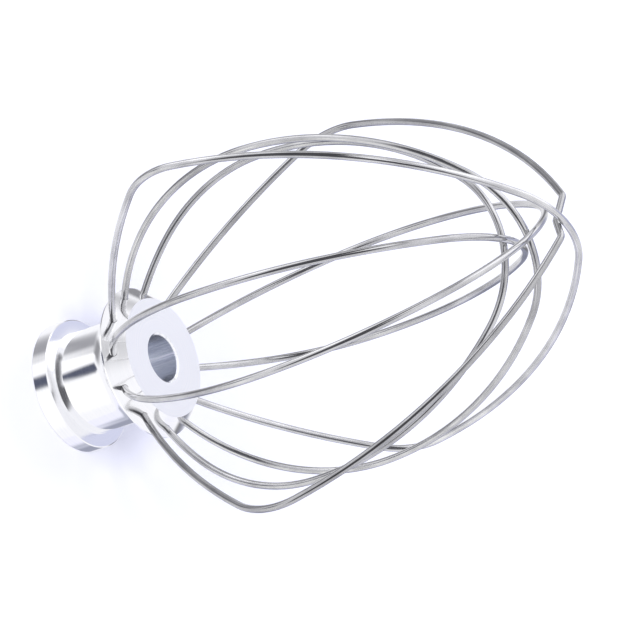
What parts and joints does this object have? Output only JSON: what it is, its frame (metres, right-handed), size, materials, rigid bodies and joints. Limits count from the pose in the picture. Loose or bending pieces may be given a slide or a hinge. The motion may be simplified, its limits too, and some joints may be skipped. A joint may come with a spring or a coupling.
{
  "type": "whisk attachment",
  "caption": "Balloon whisk attachment for a stand mixer: a turned spool-shaped hub with shaft bore and bayonet slot carries crossed wire loops that form an open cage.",
  "frame": {"origin": "centre of the hub's collar end face, where the mixer shaft enters the bore; the whisk stands on that face", "axes": "+Z along the bore axis from the collar to the tip of the wire cage; +X in the plane of the notched outer loop; +Y in the plane of the round outer loop"},
  "size_m": [0.129, 0.1252, 0.1561],
  "materials": {
    "hub_aluminium": "polished, turned",
    "wire_steel": "polished"
  },
  "bodies": {
    "root": {"hub": "hub_aluminium", "wire_outer_over": "wire_steel", "wire_outer_notched": "wire_steel", "wire_middle_over": "wire_steel", "wire_middle_under": "wire_steel", "wire_inner_over": "wire_steel", "wire_inner_under": "wire_steel"}
  },
  "joints": []
}
